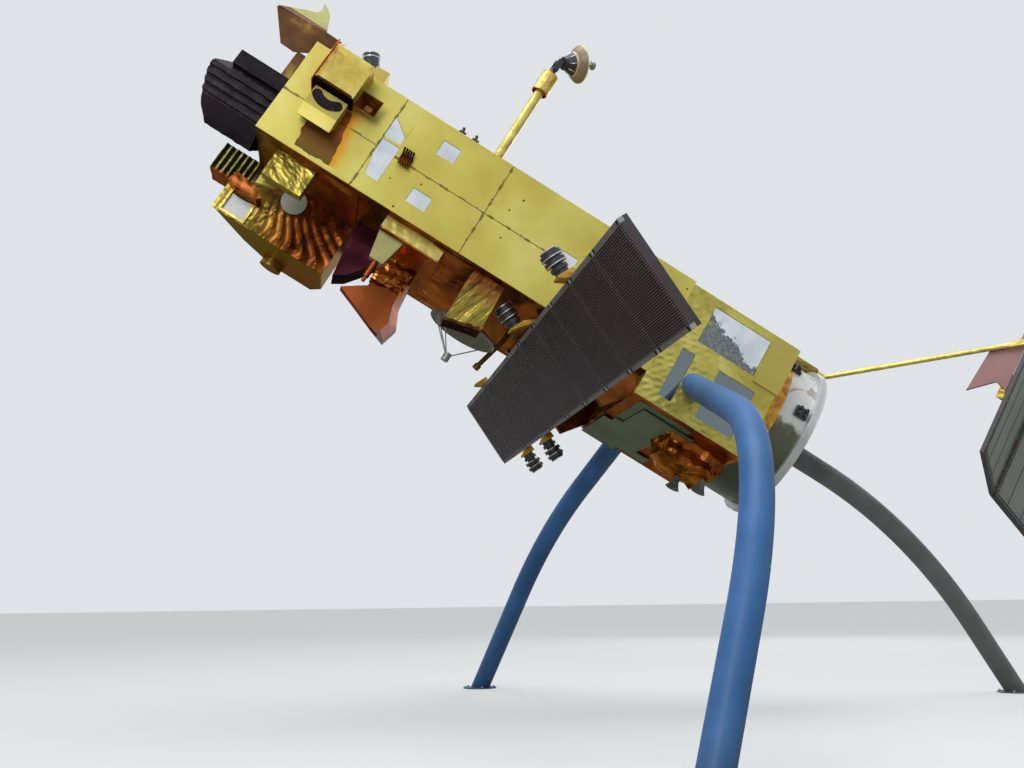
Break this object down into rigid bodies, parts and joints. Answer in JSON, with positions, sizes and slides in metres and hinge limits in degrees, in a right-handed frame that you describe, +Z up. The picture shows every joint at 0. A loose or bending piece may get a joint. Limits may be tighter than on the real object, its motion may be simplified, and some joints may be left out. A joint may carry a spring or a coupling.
{
  "type": "satellite",
  "caption": "Large Earth-observation satellite held nose-up on curved pipe legs, with a long radar antenna under the hull, a steerable relay dish and a folding solar wing on a boom.",
  "frame": {"origin": "middle of the overall outline, on the floor", "axes": "+X from the nose towards the tail and the solar wing, +Z up, +Y across the hull to its far side, away from the side with the mirrors"},
  "size_m": [16.159, 12.6098, 9.8137],
  "materials": {
    "pipe_blue": "satin",
    "pipe_grey": "satin",
    "side_foil": "gold foil drawn smooth over panels",
    "sky_foil": "gold foil, lightly creased",
    "crinkled_foil": "crinkled gold foil",
    "copper_foil": "copper foil, creased",
    "mirror_tile": "polished tiles",
    "pale_panel": "matt",
    "green_primer": "matt primer",
    "barrel_skin": "satin",
    "ring_metal": "machined",
    "thruster_dark": "matt",
    "bell_grey": "satin",
    "radar_grey": "matt paint over ribs",
    "radar_back": "satin",
    "wedge_foil": "dark copper foil",
    "bracket_gold": "orange-gold foil",
    "post_black": "matt with silver bands",
    "ribbed_black": "matt",
    "shield_foil": "gold foil, dark brown in front",
    "striped_foil": "pleated foil",
    "horn_gold": "satin",
    "pale_disc": "matt",
    "hood_foil": "pleated copper foil",
    "window_white": "gloss",
    "drum_brown": "dark foil, gold rim",
    "burgundy": "gloss",
    "olive_metal": "satin",
    "copper_metal": "satin",
    "feed_grey": "satin",
    "sensor_gold": "gold foil",
    "mast_foil": "wrapped gold foil",
    "collar_foil": "pale gold foil",
    "fork_black": "matt",
    "dish_beige": "matt",
    "array_back": "matt laminate back",
    "hinge_steel": "satin",
    "yoke_mauve": "satin"
  },
  "bodies": {
    "spacecraft": {"altimeter_dish": "olive_metal", "altimeter_feed": "feed_grey", "barrel_thrusters": "thruster_dark", "copper_nozzle": "copper_metal", "corner_panel": "pale_panel", "dark_hood": "burgundy", "fishtail_horn": "copper_metal", "foil_flap": "crinkled_foil", "green_panels": "green_primer", "hold_down_posts": "post_black", "imager_drum": "drum_brown", "imager_hood": "hood_foil", "imager_window": "window_white", "instrument_box": "crinkled_foil", "kidney_baffle": "crinkled_foil", "launch_ring": "ring_metal", "leg_back": "pipe_blue", "leg_front": "pipe_blue", "leg_right": "pipe_grey", "long_box": "crinkled_foil", "mast": "mast_foil", "nose_shield": "shield_foil", "payload_box": "sky_foil", "post_brackets": "bracket_gold", "radar_face": "radar_grey", "radar_frame": "radar_back", "radar_wedges": "wedge_foil", "ribbed_block": "ribbed_black", "round_reflector": "pale_disc", "sensor_arm": "sensor_gold", "sensor_box": "crinkled_foil", "service_box": "copper_foil", "service_mirrors": "mirror_tile", "service_side_far": "crinkled_foil", "service_side_near": "crinkled_foil", "side_mirrors": "mirror_tile", "side_panels_far": "side_foil", "side_panels_near": "side_foil", "sky_box": "mirror_tile", "sky_cylinder": "post_black", "square_horn": "horn_gold", "striped_box": "striped_foil", "tail_barrel": "barrel_skin", "tapered_bracket": "olive_metal", "thruster_bells": "bell_grey", "thruster_cluster": "copper_foil", "wing_drive": "crinkled_foil"},
    "dish_turret": {"turning_collar": "collar_foil", "elbow_fork": "fork_black"},
    "dish_head": {"relay_dish": "dish_beige"},
    "wing": {"boom": "mast_foil", "wing_yoke": "yoke_mauve", "yoke_brackets": "bracket_gold", "wing_panel_1": "array_back", "wing_panel_2": "array_back", "wing_panel_3": "array_back", "wing_panel_4": "array_back", "wing_hinges": "hinge_steel"}
  },
  "joints": [
    {"name": "collar_turn", "type": "hinge", "parent": "spacecraft", "child": "dish_turret", "pos_m": [-3.30363, -0.795, 8.87889], "axis": [0.515, 0, 0.8572], "range_deg": [-170, 170]},
    {"name": "dish_tilt", "type": "hinge", "parent": "dish_turret", "child": "dish_head", "pos_m": [-3.13367, -0.795, 9.16175], "axis": [-0.2932, 0.9397, 0.1762], "range_deg": [-45, 35]},
    {"name": "wing_turn", "type": "hinge", "parent": "spacecraft", "child": "wing", "pos_m": [0.95299, 0.005, 4.85712], "axis": [0.8572, 0, -0.515], "range_deg": [-40, 90]}
  ]
}
